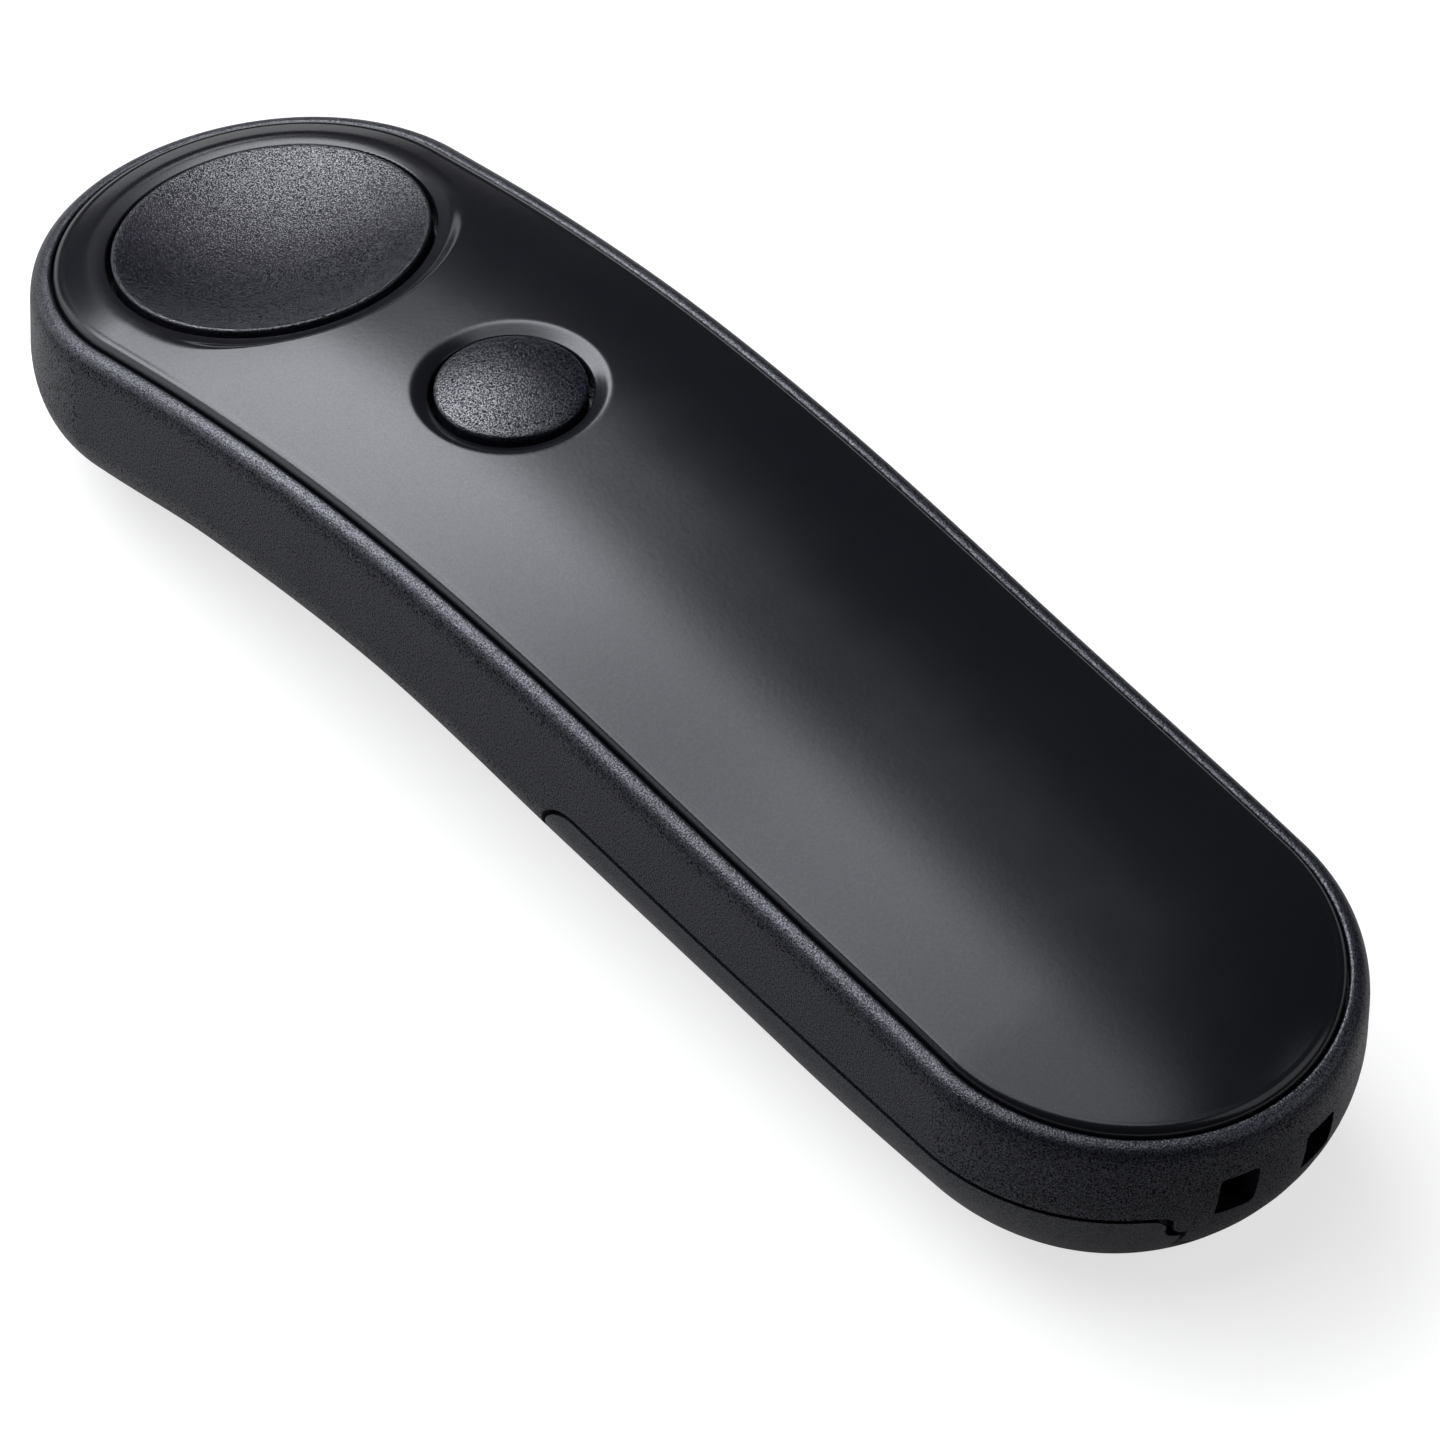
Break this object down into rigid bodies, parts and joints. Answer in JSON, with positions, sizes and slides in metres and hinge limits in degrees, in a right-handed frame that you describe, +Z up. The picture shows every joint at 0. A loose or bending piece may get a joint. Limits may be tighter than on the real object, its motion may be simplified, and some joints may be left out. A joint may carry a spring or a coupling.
{
  "type": "page turner remote",
  "caption": "Arched pill-shaped page turner remote with a dished forward button, a small back button, a battery door underneath and lanyard slots in the tail.",
  "frame": {"origin": "middle of the length and width, on the surface that the remote rests on", "axes": "+X from the head with the large button to the tail with the lanyard slots, +Z up out of the top plate, +Y to the left when looking along +X"},
  "size_m": [0.1158, 0.032, 0.022],
  "materials": {
    "housing_plastic": "coarse spark grain, matte",
    "cover_plastic": "fine grain, matte",
    "door_plastic": "fine grain, matte",
    "plate_plastic": "smooth satin",
    "button_plastic": "even sandblasted grain, matte",
    "frame_plastic": "moulded, matte",
    "board_laminate": "solder mask, semi-gloss",
    "switch_plastic": "moulded, semi-gloss",
    "plunger_plastic": "moulded, semi-gloss",
    "module_laminate": "solder mask, semi-gloss",
    "plated_steel": "nickel plated",
    "ceramic": "fired ceramic",
    "cell_jacket": "printed foil jacket, plain",
    "wire_jacket": "flexible sheath",
    "screw_steel": "zinc plated"
  },
  "bodies": {
    "body": {"side_housing": "housing_plastic", "underside_cover": "cover_plastic", "top_plate": "plate_plastic", "inner_frame": "frame_plastic", "circuit_board": "board_laminate", "forward_switch": "switch_plastic", "back_switch": "switch_plastic", "radio_module": "module_laminate", "radio_shield": "plated_steel", "timing_crystal": "plated_steel", "board_capacitors": "ceramic", "battery_cell": "cell_jacket", "negative_spring": "plated_steel", "negative_contact": "plated_steel", "positive_contact": "plated_steel", "positive_wire": "wire_jacket", "board_screws": "screw_steel", "plate_screws": "screw_steel", "cover_screws": "screw_steel"},
    "forward_button": {"forward_button": "button_plastic"},
    "forward_plunger": {"forward_plunger": "plunger_plastic"},
    "back_button": {"back_button": "button_plastic"},
    "back_plunger": {"back_plunger": "plunger_plastic"},
    "battery_door": {"battery_door": "door_plastic"}
  },
  "joints": [
    {"name": "forward_button_press", "type": "slide", "parent": "body", "child": "forward_button", "axis": [0.2291, 0, -0.9734], "range_m": [0, 0.0005], "stiffness_N_per_m": 1500},
    {"name": "back_button_press", "type": "slide", "parent": "body", "child": "back_button", "axis": [0.0782, 0, -0.9969], "range_m": [0, 0.0004], "stiffness_N_per_m": 1500},
    {"name": "forward_plunger_press", "type": "slide", "parent": "body", "child": "forward_plunger", "axis": [0.1541, 0, -0.9881], "range_m": [0, 0.0005]},
    {"name": "back_plunger_press", "type": "slide", "parent": "body", "child": "back_plunger", "axis": [0.1541, 0, -0.9881], "range_m": [0, 0.0004]},
    {"name": "battery_door_hinge", "type": "hinge", "parent": "body", "child": "battery_door", "pos_m": [0.0044, 0, 0.0036], "axis": [0, 1, 0], "range_deg": [0, 40]}
  ],
  "couplings": [
    {"joint": "forward_plunger_press", "follows": "forward_button_press", "ratio": 0.997},
    {"joint": "back_plunger_press", "follows": "back_button_press", "ratio": 0.997}
  ]
}
